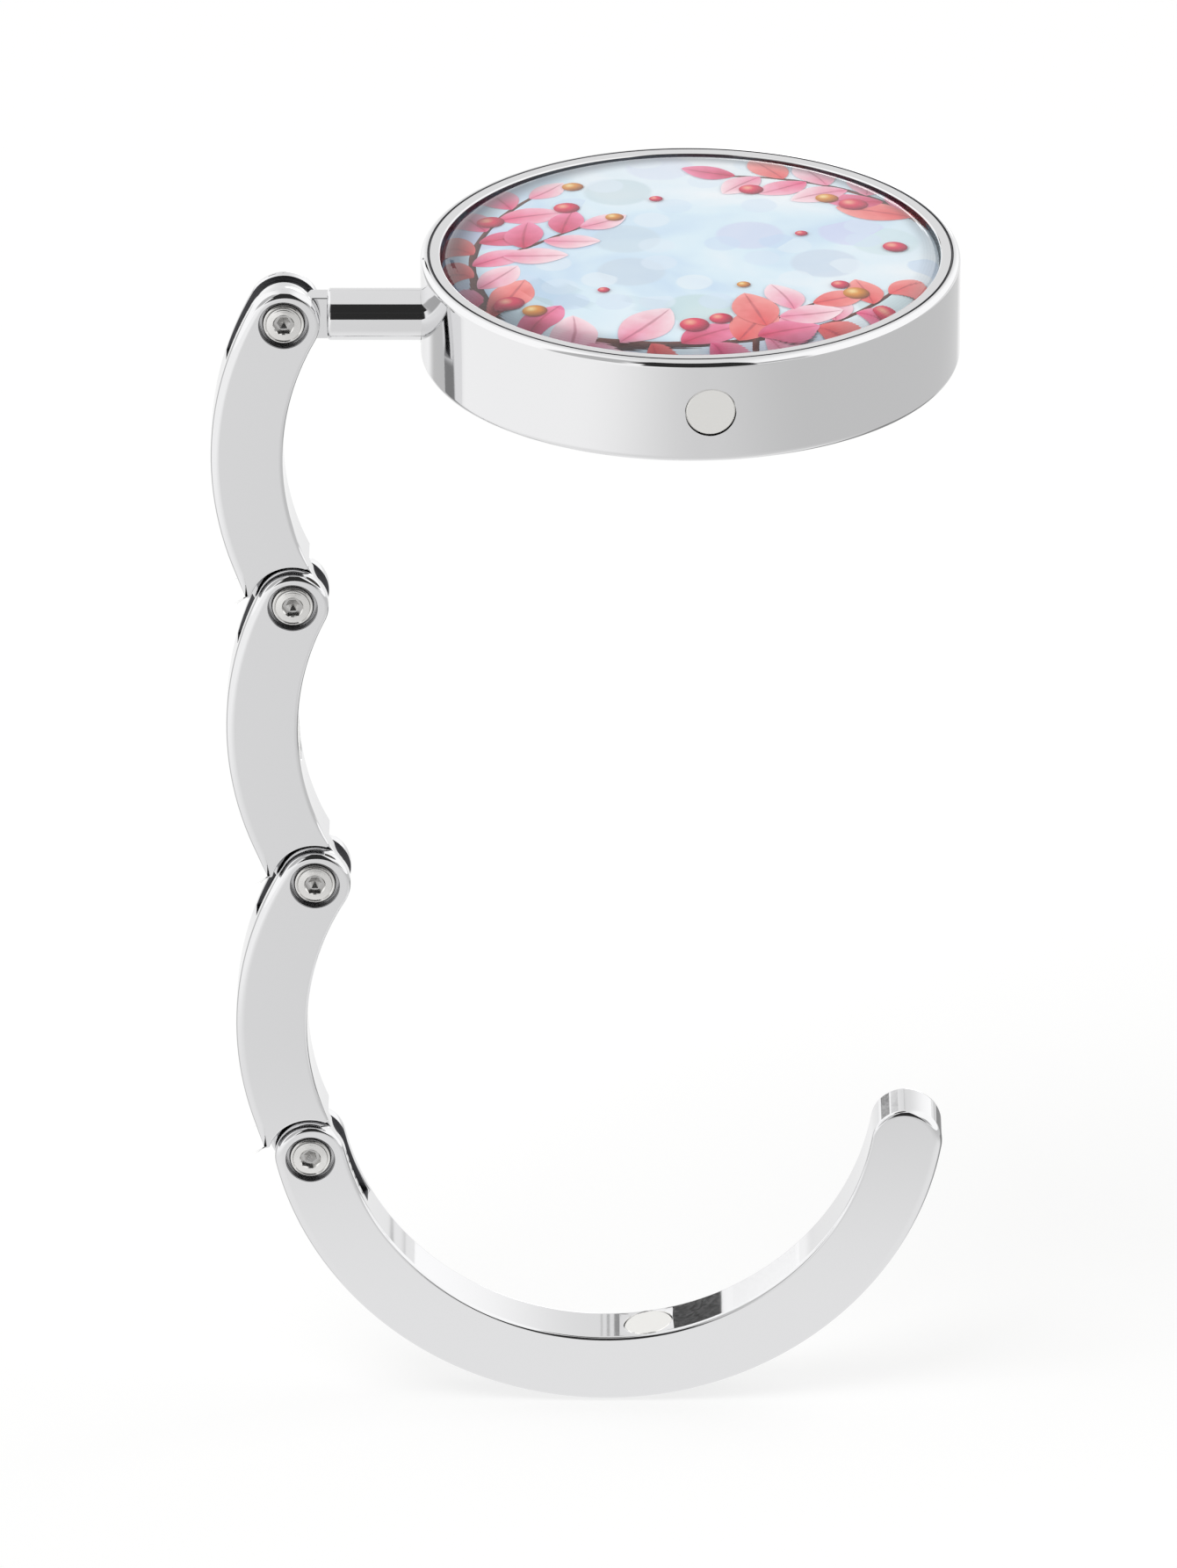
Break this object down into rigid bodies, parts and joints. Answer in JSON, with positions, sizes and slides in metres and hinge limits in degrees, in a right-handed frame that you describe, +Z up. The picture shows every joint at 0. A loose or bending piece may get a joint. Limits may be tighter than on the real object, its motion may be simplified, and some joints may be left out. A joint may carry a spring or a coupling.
{
  "type": "folding purse hook",
  "caption": "Folding table hook for a handbag: padded disc, sliding stem and a chain of curved links ending in a hook that closes round the disc.",
  "frame": {"origin": "middle of the rubber pad's face, where the disc stands on a table", "axes": "+Z up, out of the print; the stem leaves the disc along -X; the screws of the chain face -Y and the plain pin heads +Y"},
  "size_m": [0.0487, 0.035, 0.0834],
  "materials": {
    "chrome_casting": "bright chrome plating on a zinc casting",
    "pin_chrome": "bright chrome plating on steel",
    "screw_steel": "plain bright steel",
    "plate_steel": "plain sheet steel",
    "magnet_nickel": "nickel plating on a sintered magnet",
    "print_paper": "printed paper",
    "clear_epoxy": "clear glossy epoxy",
    "pad_rubber": "matte black rubber"
  },
  "bodies": {
    "case": {"case_shell": "chrome_casting", "print_disc": "print_paper", "clear_dome": "clear_epoxy", "base_plate": "plate_steel", "rubber_pad": "pad_rubber", "case_magnet_hook_side": "magnet_nickel", "case_magnet_link_side": "magnet_nickel"},
    "slider": {"stem_stop_plate": "plate_steel"},
    "stem": {"swivel_stem": "chrome_casting", "stem_tail_screw": "screw_steel"},
    "first_link": {"link_1": "chrome_casting", "link_1_pin": "pin_chrome", "link_1_screw": "screw_steel"},
    "second_link": {"link_2": "chrome_casting", "link_2_pin": "pin_chrome", "link_2_screw": "screw_steel", "link_2_magnet": "magnet_nickel"},
    "third_link": {"link_3": "chrome_casting", "link_3_pin": "pin_chrome", "link_3_screw": "screw_steel"},
    "hook": {"hook_arm": "chrome_casting", "hook_pin": "pin_chrome", "hook_screw": "screw_steel", "hook_magnet": "magnet_nickel"}
  },
  "joints": [
    {"name": "stem_slide", "type": "slide", "parent": "case", "child": "slider", "axis": [1, 0, 0], "range_m": [0, 0.0062]},
    {"name": "stem_swivel", "type": "hinge", "parent": "slider", "child": "stem", "pos_m": [-0.02635, 0, 0.00295], "axis": [1, 0, 0], "range_deg": [-90, 90]},
    {"name": "fold_1", "type": "hinge", "parent": "stem", "child": "first_link", "pos_m": [-0.02635, 0, 0.00295], "axis": [0, -1, 0], "range_deg": [0, 28.75]},
    {"name": "fold_2", "type": "hinge", "parent": "first_link", "child": "second_link", "pos_m": [-0.02591, 0, -0.01719], "axis": [0, -1, 0], "range_deg": [0, 57.5]},
    {"name": "fold_3", "type": "hinge", "parent": "second_link", "child": "third_link", "pos_m": [-0.02459, 0, -0.0373], "axis": [0, -1, 0], "range_deg": [0, 65]},
    {"name": "fold_4", "type": "hinge", "parent": "third_link", "child": "hook", "pos_m": [-0.02503, 0, -0.05745], "axis": [0, -1, 0], "range_deg": [0, 15.8]}
  ]
}
